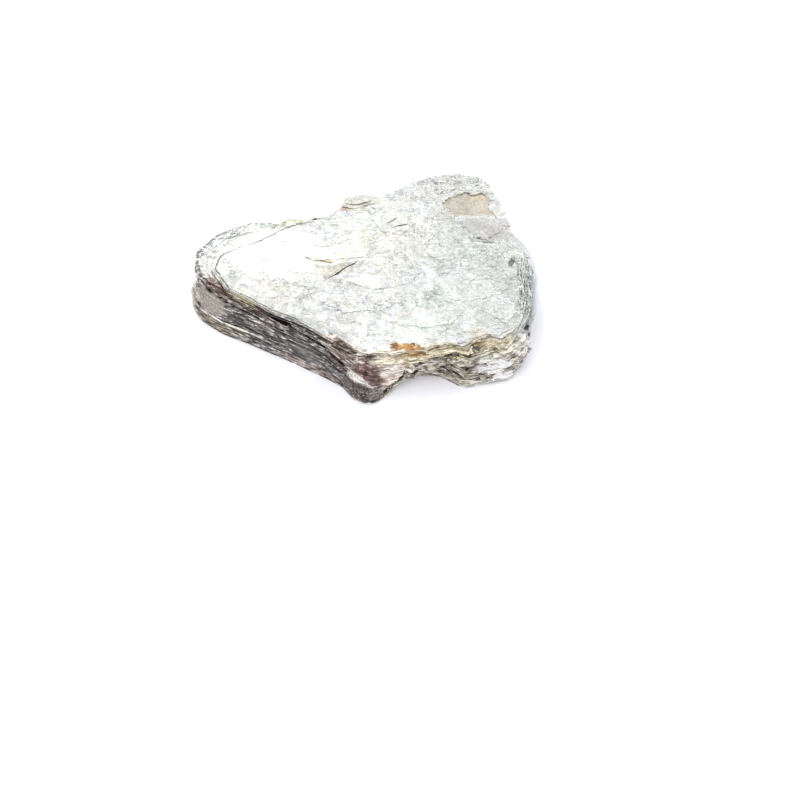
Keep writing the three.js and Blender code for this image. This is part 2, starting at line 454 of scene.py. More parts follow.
def crumbs(count, seed, directions, heights, sizes, tilt):
    """Small scales that stand out of the broken sides, each tilted its own way, up to tilt degrees."""
    rng = random.Random(seed)
    made = []
    for _ in range(count):
        angle, height = math.radians(rng.uniform(*directions)), rng.uniform(*heights)
        size = rng.uniform(*sizes)
        reach = straight_side(angle, height) + float(swell_at(np.array(angle), height))
        place = (reach - 0.35 * size - rng.uniform(0.2, 1.2)) * np.array([math.cos(angle), math.sin(angle)])
        crumb = scale_of_mica(rng, place, size, height, rng.uniform(0.15, 0.5))
        bpy.ops.object.mode_set(mode="EDIT")
        bpy.ops.mesh.select_all(action="SELECT")
        for axis in "XY":
            lean = math.radians(rng.uniform(-tilt, tilt))
            middle = (place[0] * MM, place[1] * MM, height * MM)
            bpy.ops.transform.rotate(value=lean, orient_axis=axis, center_override=middle)
        bpy.ops.object.mode_set(mode="OBJECT")
        made.append(crumb)
    return made


def on_main_sheets(place, size):
    return np.hypot(*place) + size * 1.3 < main_radius(math.atan2(place[1], place[0]))


def on_ridge(place, size):
    x, y = place[0] / HALF_LONG, place[1] / HALF_DEEP
    return 0.36 < x < 0.72 and 0.80 < y + 0.55 * abs(x - 0.56) < 0.96


def at_right_end(place, size):
    away = brow_radius(math.atan2(place[1], place[0])) - np.hypot(*place)
    return 0.4 < away < 3.6 and -0.42 < place[1] / HALF_DEEP < 0.16


def make_book():
    body = list(body_sheets())
    sheets = [
        sheet("sheet", polar(ROUND, rim), base, thick, GRID if number == len(body) - 1 else None)
        for number, (base, thick, rim) in enumerate(body)
    ]
    scales = scattered(150, 5, (-0.9, 0.95, -0.9, 0.8), on_main_sheets, (0.5, 1.3), MAIN, (0.04, 0.1))
    scales += scattered(30, 8, (0.3, 0.95, -0.75, 0.2), on_main_sheets, (0.8, 2.0), MAIN, (0.06, 0.16))
    scales += scattered(100, 11, (0.30, 0.80, 0.6, 1.0), on_ridge, (0.35, 0.8), BOOK + 0.35, (0.1, 0.4))
    scales += scattered(26, 13, (0.80, 1.0, -0.42, 0.10), at_right_end, (0.4, 1.0), BOOK - 0.2, (0.2, 0.6))
    scales += crumbs(70, 17, (-76, -28), (2.2, 11.2), (0.9, 2.2), 24)
    scales += crumbs(26, 19, (-24, 60), (2.0, 10.5), (0.8, 1.8), 16)
    scales += crumbs(26, 23, (62, 168), (2.0, 10.5), (0.8, 1.8), 16)
    book = joined(sheets[0], sheets[1:] + upper_sheets() + patches() + scales)
    book = joined(book, scars(), "DIFFERENCE")
    book.name = "mica_sheets"
    return book


def numbers_of(piece):
    """The places of a piece's points in one row: x, y and z of each in turn, in metres."""
    numbers = np.empty(len(piece.data.vertices) * 3)
    piece.data.vertices.foreach_get("co", numbers)
    return numbers


def remember_sheets(piece):
    """Keeps on each point what the finish goes by, in millimetres: how far in from the rim it is, how high,
    how deep its crevice is, and how far in from the edge of the main sheets it is."""
    x, y, z = numbers_of(piece).reshape(-1, 3).T / MM
    angle = np.arctan2(y, x)
    rim = straight_side(angle, z) + swell_at(angle, z)
    away = np.hypot(x, y)
    kept = {
        "inset": rim - away,
        "level": z,
        "crevice": crevice_at(angle, z - 0.05) + crevice_at(angle, z + 0.05),
        "main_inset": main_radius(angle) - away,
    }
    for name, values in kept.items():
        layer = piece.data.attributes.new(name, "FLOAT", "POINT")
        layer.data.foreach_set("value", values.astype(np.float32))


def in_triangles(piece):
    bpy.context.view_layer.objects.active = piece
    bpy.ops.object.mode_set(mode="EDIT")
    bpy.ops.mesh.select_all(action="SELECT")
    bpy.ops.mesh.quads_convert_to_tris(quad_method="BEAUTY", ngon_method="BEAUTY")
    bpy.ops.object.mode_set(mode="OBJECT")


def undulate(piece, name, size, strength, weight_of):
    """Lifts and lowers the sheets in soft waves. weight_of gives each place's share of them."""
    weights = weight_of(*(numbers_of(piece).reshape(-1, 3).T / MM))
    group = piece.vertex_groups.new(name=name)
    for index, weight in enumerate(weights):
        if weight > 0.001:
            group.add([index], float(weight), "REPLACE")
    cloud = bpy.data.textures.new(name, "CLOUDS")
    cloud.noise_scale = size * MM
    cloud.noise_depth = 1
    wave = piece.modifiers.new(name, "DISPLACE")
    wave.texture = cloud
    wave.texture_coords = "LOCAL"
    wave.direction = "Z"
    wave.mid_level = 0.5
    wave.strength = strength * MM
    wave.vertex_group = name
    bpy.ops.object.modifier_apply(modifier=wave.name)
    piece.vertex_groups.clear()


def rising(z):
    return np.clip(z / (0.6 * TOP), 0, 1)


def short_waves(x, y, z):
    angle = np.arctan2(y, x)
    return rising(z) * (0.3 + 0.3 * rawness(angle) + 0.4 * crumbling(angle) * bump_of(z - 7, 7))


def wavy_layers(x, y, z):
    return crumbling(np.arctan2(y, x)) * bump_of(z - 6.5, 6.5)


SAG = 3.6  # how far the sheets bend down at the knob


def sag_at_front(piece):
    """Bends the sheets down towards the knob, so that their edges climb from it to the right."""
    numbers = numbers_of(piece)
    x, y, z = numbers.reshape(-1, 3).T / MM
    angle, away = np.arctan2(y, x), brow_radius(np.arctan2(y, x)) - np.hypot(x, y)
    front = bump_of(turned(angle, -86), 26) * np.clip(1 - away / 8, 0, 1)
    numbers[2::3] -= SAG * front * bump_of(z - 8, 8) * MM
    piece.data.vertices.foreach_set("co", numbers)
    piece.data.update()


book = make_book()
remember_sheets(book)
in_triangles(book)
sag_at_front(book)
undulate(book, "long waves", 15, 1.2, lambda x, y, z: rising(z))
undulate(book, "short waves", 4.0, 0.7, short_waves)
undulate(book, "crumpling", 1.7, 0.32, lambda x, y, z: bump_of(z - TOP, 3))
undulate(book, "wavy layers", 6.0, 1.9, wavy_layers)


# Finishes. Their colours are charted: red, green and blue, from 0 to 255.

MICA_IOR = 1.58
CREASE = 25  # degrees between two faces that still look smooth


def shade(*chart):
    """A charted colour as the light that it sends back."""
    return tuple(((c / 255 + 0.055) / 1.055) ** 2.4 if c > 10 else c / 3294.6 for c in chart) + (1,)


class Tone:
    """One value or colour in a finish. Arithmetic on it adds the finish's own Math nodes."""

    def __init__(self, finish, socket):
        self.finish = finish
        self.socket = socket

    def maths(self, operation, first, second=0.0):
        return self.finish.node("ShaderNodeMath", {"operation": operation}, {0: first, 1: second})

    def __add__(self, other):
        return self.maths("ADD", self, other)

    def __sub__(self, other):
        return self.maths("SUBTRACT", self, other)

    def __rsub__(self, other):
        return self.maths("SUBTRACT", other, self)

    def __mul__(self, other):
        return self.maths("MULTIPLY", self, other)

    def __truediv__(self, other):
        return self.maths("DIVIDE", self, other)

    def __rtruediv__(self, other):
        return self.maths("DIVIDE", other, self)

    def __pow__(self, other):
        return self.maths("POWER", self, other)

    __radd__ = __add__
    __rmul__ = __mul__

    def size(self):
        return self.maths("ABSOLUTE", self)

    def most(self, other):
        return self.maths("MAXIMUM", self, other)


class Finish:
    """A procedural material on a piece's own coordinates, in millimetres."""

    def __init__(self, name):
        self.material = bpy.data.materials.new(name)
        self.material.use_nodes = True
        self.tree = self.material.node_tree
        self.tree.nodes.clear()
        metres = self.node("ShaderNodeTexCoord", {}, {}, "Object")
        self.place = self.node("ShaderNodeMapping", {}, {"Vector": metres, "Scale": (1 / MM,) * 3})
        self.x, self.y = self.parts(self.place)[:2]
        self.facing = self.parts(self.node("ShaderNodeTexCoord", {}, {}, "Normal"))

    def node(self, kind, settings, values, output=0):
        """Adds a node: its settings first, then the values or links of its sockets. Gives one output."""
        made = self.tree.nodes.new(kind)
        for name, value in settings.items():
            if name == "stops":
                while len(made.color_ramp.elements) < len(value):
                    made.color_ramp.elements.new(0.5)
                for stop, (position, chart) in zip(made.color_ramp.elements, value):
                    stop.position = position
                    stop.color = shade(*chart)
            else:
                setattr(made, name, value)
        for name, value in values.items():
            if isinstance(value, Tone):
                self.tree.links.new(value.socket, made.inputs[name])
            else:
                made.inputs[name].default_value = value
        return Tone(self, made.outputs[output]) if made.outputs else None

    def done(self, **shaders):
        """The finished material, with its shaders joined to its output."""
        self.node("ShaderNodeOutputMaterial", {}, shaders)
        return self.material

    def parts(self, vector):
        first = self.node("ShaderNodeSeparateXYZ", {}, {0: vector})
        return [Tone(self, socket) for socket in first.socket.node.outputs]

    def kept(self, name):
        """A value that the piece keeps on its points."""
        return self.node("ShaderNodeAttribute", {"attribute_name": name}, {}, "Fac")

    def soft(self, value, start, end):
        """0 at start, 1 at end, with a smooth step between them. start may be the larger."""
        values = {"Value": value, "From Min": start, "From Max": end}
        return self.node("ShaderNodeMapRange", {"interpolation_type": "SMOOTHSTEP"}, values)

    def within(self, value, low, high, edge):
        return self.soft(value, low - edge, low + edge) * self.soft(value, high + edge, high - edge)

    def coated(self, colour, *coats):
        """A colour with coats laid over it in turn: each is its share and its own colour."""
        for share, coat in coats:
            over = coat if isinstance(coat, Tone) else shade(*coat)
            colour = self.node("ShaderNodeMix", {"data_type": "RGBA"}, {0: share, 6: colour, 7: over}, 2)
        return colour

    def ramp(self, value, *stops):
        """Colours that run into each other along a value: each stop is a position and a charted colour."""
        return self.node("ShaderNodeValToRGB", {"stops": stops}, {0: value})

    def noise(self, place, detail, rough, warp):
        values = {"Vector": place, "Scale": 1.0, "Detail": detail, "Roughness": rough, "Distortion": warp}
        return self.node("ShaderNodeTexNoise", {}, values)

    def cloud(self, size, detail=3.0, rough=0.55, stretch=(1, 1, 1), shift=(0, 0, 0), turn=0.0, warp=0.0):
        """Soft noise from 0 to 1, with features about size millimetres across."""
        values = {"Vector": self.place, "Location": shift, "Rotation": (0, 0, math.radians(turn))}
        values["Scale"] = tuple(1 / (size * s) for s in stretch)
        return self.noise(self.node("ShaderNodeMapping", {}, values), detail, rough, warp)

    def spot(self, middle, half, turn, ragged, amount):
        """1 inside an ellipse on the plan, in shares of the half length and depth, with a ragged edge."""
        x = self.x - middle[0] * HALF_LONG
        y = self.y - middle[1] * HALF_DEEP
        c, s = math.cos(math.radians(turn)), math.sin(math.radians(turn))
        u = (x * c + y * s) / (half[0] * HALF_LONG)
        v = (y * c - x * s) / (half[1] * HALF_DEEP)
        away = (u * u + v * v) ** 0.5 + (ragged - 0.5) * amount * 2
        return self.soft(away, 1.15, 0.8)

    def surface(self, values, height):
        """The shader, with fine relief whose height is in millimetres."""
        relief = self.node("ShaderNodeBump", {}, {"Height": height, "Distance": MM, "Strength": 1.0})
        return self.node("ShaderNodeBsdfPrincipled", {}, {**values, "Normal": relief})


class MicaFinish(Finish):
    """The finish of the whole book: dark crystal face, broken sides and pearly cleavage faces.

    Places on the sides are in degrees round and millimetres up, and on the upper side in shares of the half
    length and depth."""

    def __init__(self, name):
        super().__init__(name)
        self.round = self.y.maths("ARCTAN2", self.y, self.x) * (180 / math.pi)
        self.level = self.kept("level")
        self.inset = self.kept("inset")
        self.up = self.soft(self.facing[2].size(), 0.35, 0.8)
        self.tear = self.cloud(3.2, 4, 0.6, warp=0.4)
        self.stray = self.tear - 0.5
        self.grain = self.cloud(0.5, 4, 0.65)
        self.torn = self.tear * 0.55 + self.grain * 0.45
        lines = self.cloud(0.32, 5, 0.72, stretch=(12, 12, 1), warp=0.3)
        fine_lines = self.cloud(0.17, 3, 0.65, stretch=(14, 14, 1), shift=(7, 3, 0), warp=0.3)
        chips = self.cloud(0.8, 4, 0.7, stretch=(2.6, 2.6, 1), shift=(2, 5, 0), warp=0.4)
        self.streak = lines * 0.46 + fine_lines * 0.24 + chips * 0.30
        self.thin_dark = self.thread(lines, 0.46, 0.016) * self.soft(chips, 0.44, 0.52)
        # glint_lines: painted glints, thin highlights along single sheet edges.
        self.glint_lines = self.thread(lines, 0.56, 0.014) * self.soft(chips, 0.50, 0.58)
        self.rim_lines = self.along_rim(2.4, 0.16, self.level * 2.4, 0.65, 0.3)

    def arc(self, start, end, edge):
        """1 between two directions, in degrees round."""
        return self.within(self.round, start, end, edge)

    def along_rim(self, inward, onward, upward, rough, warp):
        """Noise laid along the rim, by the distance in from it and the degrees round."""
        values = {0: self.inset * inward, 1: self.round * onward, 2: upward}
        return self.noise(self.node("ShaderNodeCombineXYZ", {}, values), 4.0, rough, warp)

    def thread(self, wave, at, half):
        """A thin line where a noise passes one value."""
        return self.soft((wave - at).size(), half, half * 0.4)

    def near_level(self, middle, half, wobble=0.0):
        """1 in a band of the side about a height, which may itself vary round the crystal."""
        away = (self.level - middle).size()
        if wobble:
            away = away + self.stray * wobble
        return self.soft(away / half, 1.4, 0.7)

    def round_spot(self, angle, height, half_angle, half_height, amount=0.5, wave=None):
        """1 inside an ellipse on the side, with a torn edge."""
        u = (self.round - angle) / half_angle
        v = (self.level - height) / half_height
        away = (u * u + v * v) ** 0.5 + ((wave or self.torn) - 0.5) * amount * 2
        return self.soft(away, 1.2, 0.7)

    def streaked(self, *shades):
        """Sheet edges in five shades, from the darkest lines to the palest."""
        return self.ramp(self.streak, *zip((0.428, 0.465, 0.50, 0.535, 0.58), shades))

    def lines(self, share):
        """Coats of single sheet edges: thin dark gaps, and thin pale glints that are painted highlights."""
        return [
            (self.thin_dark * 0.85 * share, (26, 20, 17)),
            (self.glint_lines * 0.75 * share, (246, 243, 238)),
        ]

    def sides(self):
        """The broken sides all round, and how much of each place is the crystal face."""
        face = self.within(self.round + self.stray * 22, -172, -92, 3)
        greyer = self.soft(self.cloud(14, 3, 0.5), 0.46, 0.60) * self.soft(self.round.size(), 70, 40)
        pale_end = self.arc(-34, 16, 6) * self.soft(self.level + self.stray * 3, 8.0, 9.5)
        splinters = self.arc(-17, 2, 2) * self.near_level(10.5, 2.8, 2.0)
        # gap: painted shade, darker where crevices open between the sheets.
        gap_shade = self.soft(self.kept("crevice"), 0.3, 1.3) * self.soft(self.streak, 0.66, 0.53)
        skin = self.coated(
            self.streaked((40, 30, 22), (136, 124, 106), (200, 193, 177), (232, 228, 217), (253, 252, 249)),
            (greyer * 0.7, self.streaked(
                (48, 44, 42), (120, 115, 108), (176, 172, 164), (208, 205, 198), (244, 243, 240))),
            *self.crystal_face(face),
            *self.knob_end(),
            *self.right_front(),
            (pale_end * 0.85, self.streaked(
                (120, 118, 112), (214, 213, 206), (236, 235, 230), (246, 246, 242), (255, 255, 253))),
            (splinters * self.soft(self.streak, 0.50, 0.44), (54, 52, 54)),
            (gap_shade * 0.94, (22, 16, 14)),
        )
        return skin, face

    def crystal_face(self, face):
        """Coats of the long dark face, with its paler ledges and stains."""
        brown_ends = self.soft(self.round, -124, -142).most(self.soft(self.round, -116, -102))
        brow = self.soft(self.level + self.stray * 7, 9.6, 11.6) * brown_ends
        lichen = self.round_spot(-153, 13.6, 8, 1.0, 0.9, self.grain)
        grey_patch = self.round_spot(-118, 6.0, 9, 3.4, 0.9)
        foot_band = self.near_level(1.6 + (self.round + 120) * 0.02, 0.9, 2.6)
        left_foot = self.soft(self.round + self.stray * 22, -148, -160)
        left_foot = left_foot * self.soft(self.level + self.stray * 2, 4.0, 3.0)
        chip = self.round_spot(-168, 7.6, 6.5, 3.2, 0.9)
        ledge = self.near_level(3.8, 0.24, 0.9) * self.arc(-174, -146, 6)
        smears = [
            self.round_spot(*place, 1.4) * self.soft(self.streak, 0.44, 0.50)
            for place in ((-141, 8.8, 3.0, 2.2), (-122, 11.6, 4.2, 0.8), (-104, 11.4, 4.6, 0.7))
        ]
        return [
            # The long face: the dark colour of its sheet edges, darkened further with painted shade of a
            # side turned from the light.
            (face, self.streaked(
                (14, 12, 12), (48, 43, 41), (82, 76, 73), (128, 122, 118), (238, 235, 231))),
            (face * brow, self.streaked(
                (24, 16, 13), (70, 54, 45), (110, 91, 79), (158, 140, 125), (236, 226, 212))),
            *self.lines(face),
            (lichen * 0.55, (166, 160, 112)),
            (grey_patch * 0.45, (118, 112, 110)),
            (foot_band * self.arc(-134, -102, 5) * 0.8, self.streaked(
                (44, 32, 28), (114, 94, 87), (168, 150, 141), (210, 195, 187), (250, 244, 238))),
            (left_foot * face, self.streaked(
                (34, 28, 24), (90, 79, 68), (130, 118, 103), (172, 161, 146), (232, 224, 212))),
            (chip, self.ramp(
                self.grain, (0.36, (140, 132, 119)), (0.5, (172, 165, 152)), (0.66, (200, 194, 182)))),
            (ledge, (244, 240, 230)),
            *((smear * 0.65, (168, 161, 152)) for smear in smears),
        ]

    def knob_end(self):
        """Coats of the red-brown end of the dark face, and of the glossy knob with its pale wedge."""
        brown = self.round_spot(-98, 11.0, 9, 3.2, 1.0)
        knob = self.round_spot(-90, 3.4, 9, 5.6, 0.5)
        red_end = self.round_spot(-86.5, 10.8, 6.4, 2.9, 1.4)
        thin_end = (self.round + 90).most(0)
        wedge = self.near_level(9.2 - thin_end * 0.36, 0.2 - (self.round + 85) * 0.1, 0.8)
        wedge = wedge * self.within(self.round + (self.grain - 0.5) * 6, -95.5, -85.5, 0.7)
        blots = self.round_spot(-82, 9.0, 2.6, 1.8, 1.6, self.grain)
        blots = blots.most(self.round_spot(-86, 10.4, 1.4, 1.2, 1.2, self.grain) * 0.6)
        toe = self.near_level(0.6, 0.4) * self.arc(-93, -80, 2)
        return [
            (brown * 0.7, self.streaked(
                (28, 20, 17), (78, 61, 54), (116, 98, 89), (158, 140, 130), (236, 226, 216))),
            (knob, self.ramp(
                self.streak * 0.5 + self.grain * 0.5, (0.40, (24, 20, 19)), (0.47, (78, 70, 65)),
                (0.54, (126, 117, 109)), (0.62, (222, 215, 206)))),
            (red_end, self.ramp(
                self.cloud(0.55, 4, 0.7, stretch=(2.4, 2.4, 1)), (0.38, (18, 11, 10)), (0.46, (80, 48, 45)),
                (0.53, (120, 84, 79)), (0.59, (164, 132, 124)), (0.66, (246, 228, 222)))),
            (wedge * 0.92, self.ramp(self.grain, (0.40, (176, 168, 158)), (0.52, (240, 236, 229)))),
            (blots * 0.85, (34, 22, 19)),
            (toe, (246, 240, 231)),
        ]

    def right_front(self):
        """Coats right of the knob: cream above the crevice, grey-brown below it, white lumps beyond, and
        painted shade along the crevice.
        """
        core = self.round_spot(-58, 5.8, 13, 4.6, 0.6)
        stain = self.near_level(12.4, 1.0, 3.0) * self.arc(-80, -30, 6)
        green_edge = self.near_level(11.4, 1.4, 3.5) * self.arc(-46, -16, 6)
        cream = self.round_spot(-78, 10.0, 5.2, 3.4, 0.9)
        lumps = self.round_spot(-44, 6.4, 5.0, 2.5, 0.9).most(self.round_spot(-41, 2.6, 3.6, 1.1, 1.2))
        # climb and cleft: a painted shadow line along the narrow crevice under the sheets that hang over.
        climb = (self.round + 57).most(0) * 0.7 - (-67 - self.round).most(0) * 0.6
        cleft_shade = self.near_level(11.2 + climb, 0.24, 0.9) * self.arc(-86, -50, 2)
        return [
            (core * 0.85, self.streaked(
                (22, 16, 11), (96, 83, 65), (166, 156, 136), (220, 214, 200), (253, 251, 246))),
            (stain * 0.7, self.streaked(
                (50, 32, 14), (150, 114, 62), (220, 196, 146), (243, 230, 196), (254, 250, 236))),
            (green_edge * 0.5, self.streaked(
                (96, 92, 48), (184, 182, 134), (224, 223, 196), (240, 239, 224), (252, 252, 246))),
            (cream * 0.85, self.streaked(
                (104, 76, 64), (212, 188, 176), (238, 224, 215), (247, 239, 232), (255, 252, 248))),
            *self.lines(self.soft(self.round, -84, -80)),
            (lumps * 0.92, self.ramp(
                self.streak, (0.39, (176, 168, 156)), (0.43, (244, 242, 238)), (0.47, (255, 255, 255)))),
            (cleft_shade * self.soft(self.grain, 0.36, 0.46) * 0.85, (34, 24, 16)),
        ]

    def scribble(self, size, shift, width, share):
        """Thin broken outlines, as thin sheets leave where they have torn."""
        wave = self.cloud(size, 4, 0.62, shift=shift, warp=0.6)
        kept = self.cloud(size * 1.6, 3, 0.6, shift=(shift[1], shift[0], 4))
        return self.thread(wave, 0.5, width) * self.soft(kept, 1 - share, 1.1 - share)

    def strokes(self, turn, shift, size=0.5):
        """Short strokes all one way, used for dark scratches and for painted highlights."""
        wave = self.cloud(size, 3, 0.55, stretch=(3.2, 1, 1), turn=turn, shift=shift, warp=0.7)
        return self.soft(wave, 0.575, 0.64)

    def cleavage(self, face, skin):
        """The cleavage faces: pearly white, with faint tints, torn outlines, specks and stains, and painted
        sheen and highlights.
        """
        soft_tint = self.cloud(6, 3, 0.5, shift=(3, 11, 0), warp=0.8)
        pearl = self.ramp(
            soft_tint, (0.36, (199, 205, 198)), (0.44, (212, 213, 208)), (0.49, (220, 218, 206)),
            (0.54, (213, 215, 213)), (0.60, (210, 211, 214)), (0.67, (218, 220, 214)))
        fine = self.cloud(0.55, 4, 0.75, shift=(1, 1, 0), warp=0.7)
        # plain: painted sheen, the left part whiter and with fewer marks, as the far lamp's reflection
        # washes it out.
        plain_sheen = self.spot((-0.46, 0.06), (0.34, 0.26), -14, self.tear, 0.35)
        creamy = self.spot((0.20, 0.20), (0.30, 0.26), 20, self.tear, 0.6)
        # worn: the right part of the top, a greyer green.
        greyer_right = self.spot((0.66, -0.12), (0.40, 0.58), 8, self.tear, 0.6)
        busy = self.soft(self.cloud(9, 2, 0.5, shift=(14, 3, 0)), 0.40, 0.58)
        lively = (1 - plain_sheen * 0.82) * (busy * 0.75 + 0.45)
        grey_lines = self.scribble(2.6, (4, 9, 0), 0.012, 0.52)
        grey_lines = grey_lines.most(self.scribble(1.3, (8, 2, 3), 0.018, 0.46))
        grey_lines = grey_lines.most(self.scribble(0.9, (1, 6, 3), 0.02, 0.42))
        scratches = self.strokes(32, (2, 2, 0)).most(self.strokes(-38, (9, 1, 0)))
        # bright: painted highlights, short strokes where sheet edges catch the light.
        highlight_strokes = self.strokes(10, (5, 7, 0), 0.7)
        speck = self.soft(self.cloud(0.36, 2, 0.5, shift=(0, 9, 0)), 0.61, 0.66)
        speck = speck * self.soft(soft_tint, 0.40, 0.52)
        crumpled = self.spot((0.12, 0.38), (0.13, 0.09), -12, self.tear, 0.6)
        return self.coated(
            pearl,
            (plain_sheen, (240, 240, 236)),
            (creamy * 0.45, (219, 215, 197)),
            (greyer_right * 0.50, (188, 195, 188)),
            (self.soft(fine, 0.50, 0.40) * 0.26 * lively, (158, 166, 154)),
            (self.soft(fine, 0.56, 0.62) * 0.32 * lively.most(0.5), (240, 240, 238)),
            (grey_lines * 0.70 * lively, (108, 110, 102)),
            (scratches * 0.50 * lively, (120, 126, 118)),
            (highlight_strokes * 0.5, (246, 246, 244)),
            (speck * 0.60 * lively, (88, 88, 80)),
            (crumpled * self.soft(self.grain, 0.52, 0.44) * 0.5, (180, 190, 194)),
            *self.bare_places(),
            *self.front_brow(),
            *self.right_end(),
            *self.left_ledge(),
            *self.low_ledges(face, skin),
        )

    def below_main(self):
        """1 under the main sheets."""
        return self.soft(self.level, MAIN - 0.45, MAIN - 0.75)

    def bare_places(self):
        """Coats of the bare terraces, the place between the cracks, and the stains along the far edge."""
        grain, tear = self.grain, self.tear
        between_cracks = self.spot((-0.20, -0.01), (0.13, 0.11), 20, tear, 0.5)
        yellow = self.spot((-0.42, 0.41), (0.09, 0.04), 8, grain, 1.6)
        beige = self.spot((0.62, 0.62), (0.20, 0.20), 0, tear, 0.25)
        peach = self.spot((0.68, 0.71), (0.06, 0.04), 0, grain, 1.2)
        grey = self.spot((0.72, 0.37), (0.17, 0.13), -12, tear, 0.3)
        ridge = self.spot((0.57, 0.88), (0.27, 0.15), 0, tear, 0.4)
        rust = self.spot((-0.12, 0.55), (0.05, 0.025), 0, grain, 1.8)
        rust = rust.most(self.spot((-0.20, 0.0), (0.04, 0.014), -10, grain, 1.6))
        flecked = self.spot((0.66, -0.72), (0.07, 0.05), -20, tear, 0.6) * self.soft(grain, 0.50, 0.44)
        return [
            (between_cracks * 0.6 * self.soft(grain, 0.40, 0.55), (196, 196, 166)),
            (yellow * 0.5, (190, 188, 142)),
            (beige * self.soft(self.level, BOOK + 0.15, BOOK + 0.06),
             self.ramp(tear, (0.40, (178, 172, 158)), (0.60, (192, 187, 172)))),
            (peach * self.below_main() * 0.45, (208, 184, 152)),
            (grey * self.below_main(), (190, 188, 184)),
            (ridge * self.soft(grain, 0.52, 0.62) * 0.8, (128, 128, 128)),
            (rust.most(flecked) * 0.6, (188, 140, 100)),
        ]

    def front_brow(self):
        """Coats of the stained sheet ends along the front edge, and of the golden stain."""
        grain, tear = self.grain, self.tear
        brow = self.soft(self.inset + self.stray * 4, 3.0, 1.8) * self.arc(-86, -36, 4)
        seams = self.thread(self.rim_lines, 0.5, 0.022) * self.soft(grain, 0.42, 0.54)
        golden = self.arc(-74, -34, 3) * self.soft(tear, 0.36, 0.42)
        fold = self.thread(self.inset + self.stray * 2.6, 1.5, 0.24) * golden
        ragged = tear * 0.45 + grain * 0.35 + self.streak * 0.2
        gold = self.spot((0.255, -0.845), (0.085, 0.04), -14, ragged, 3.2)
        return [
            (brow * 0.85, self.ramp(
                self.rim_lines, (0.35, (66, 46, 24)), (0.41, (160, 136, 88)), (0.47, (218, 205, 168)),
                (0.55, (236, 230, 210)), (0.66, (250, 248, 240)))),
            (brow * seams * 0.7, (74, 54, 36)),
            (fold * 0.85, (112, 78, 32)),
            (gold * self.soft(self.level, 12.2, 12.7), self.ramp(
                grain * 0.6 + tear * 0.4, (0.40, (74, 48, 18)), (0.46, (150, 104, 44)),
                (0.53, (186, 138, 70)), (0.60, (222, 200, 132)))),
        ]

    def right_end(self):
        """Coats of the dark mark and splinters at the right end, and of the chip at the far side."""
        dark_spot = self.spot((0.845, 0.0), (0.014, 0.045), -28, self.grain, 1.8)
        splinters = self.within(self.round + self.stray * 10, -26, 3, 2) * self.soft(self.inset, 4.4, 3.4)
        flecks = self.cloud(0.8, 4, 0.7, stretch=(0.42, 2.8, 1), shift=(3, 8, 0), turn=-14, warp=0.5)
        chip = self.spot((-0.03, 0.62), (0.13, 0.09), 0, self.grain, 0.5)
        return [
            (dark_spot * 0.85, (48, 44, 38)),
            (splinters * self.soft(flecks, 0.52, 0.55) * 0.9, (54, 52, 54)),
            (chip * self.soft(self.level, MAIN - 0.9, MAIN - 0.6) * 0.6, (182, 180, 166)),
        ]

    def left_ledge(self):
        """A coat of painted shade in the gap round the main sheets at the left end, and of the sheet edges
        beyond it.
        """
        wobble = self.stray * 1.1
        # gap: a painted shade line in the step round the main sheets; the ledge lines are the sheet edges'
        # own colour.
        gap_shade = self.soft((self.kept("main_inset") - 1.0 + wobble).size(), 0.40, 0.16)
        gap_shade = gap_shade * self.soft(self.grain, 0.36, 0.46)
        wave = self.along_rim(0.8, 0.09, 3.0, 0.62, 0.4)
        outlines = self.thread(wave, 0.44, 0.030).most(self.thread(wave, 0.54, 0.026))
        rim_outline = self.soft(self.inset + (self.grain - 0.5) * 1.6, 1.1, 0.7)
        on_ledge = self.soft(self.inset + wobble * 2, 5.4, 4.6)
        broken_up = self.soft(self.cloud(1.1, 3, 0.6, shift=(6, 6, 1)), 0.42, 0.50)
        ledge_line = outlines.most(rim_outline) * on_ledge * self.below_main() * broken_up
        return [(gap_shade.most(ledge_line) * self.soft(self.x, -10, -18) * 0.88, (70, 64, 56))]

    def low_ledges(self, face, skin):
        """Coats of the low ledges, as dull as the sides themselves, and of painted shade deep in the
        crevices.
        """
        low_ledge = self.soft(self.level, BOOK - 0.9, BOOK - 1.8)
        red_ledge = self.within(self.round + self.stray * 12, -106, -86, 2) * self.soft(self.inset, 3.2, 2.2)
        dull = (face * self.soft(self.level, BOOK + 1.5, BOOK + 0.6)).most(low_ledge * 0.8).most(red_ledge)
        # gloom: painted shade, darker the deeper the crevice.
        crevice_shade = self.soft(self.kept("crevice"), 0.4, 1.6)
        return [(dull, skin), (crevice_shade * 0.9, (36, 28, 24))]


def mica_finish():
    f = MicaFinish("pearly mica")
    skin, face = f.sides()
    pearl = f.cleavage(face, skin)
    side = 1 - f.up
    wrinkles = f.scribble(2.6, (4, 9, 0), 0.03, 0.55) * -0.05 + f.cloud(2.4, 5, 0.62, warp=0.8) * 0.22
    crumple = f.cloud(0.8, 3, 0.6, shift=(3, 3, 0), warp=0.5) * 0.07
    edges = f.streak * 0.55 + f.grain * 0.06 - f.thin_dark * 0.1
    dull_patch = f.soft(f.cloud(1.6, 4, 0.6, shift=(5, 5, 0)), 0.40, 0.62)
    values = {
        "Base Color": f.coated(skin, (f.up, pearl)),
        "Roughness": f.up * (dull_patch * 0.22 + 0.20) + side * 0.5,
        "Metallic": f.up * (0.32 - dull_patch * 0.14) * f.soft(f.level, BOOK - 1.2, BOOK - 0.4),
        "IOR": MICA_IOR,
    }
    return f.done(Surface=f.surface(values, f.up * (wrinkles + crumple + f.grain * 0.02) + side * edges))


# Pieces beside the book.


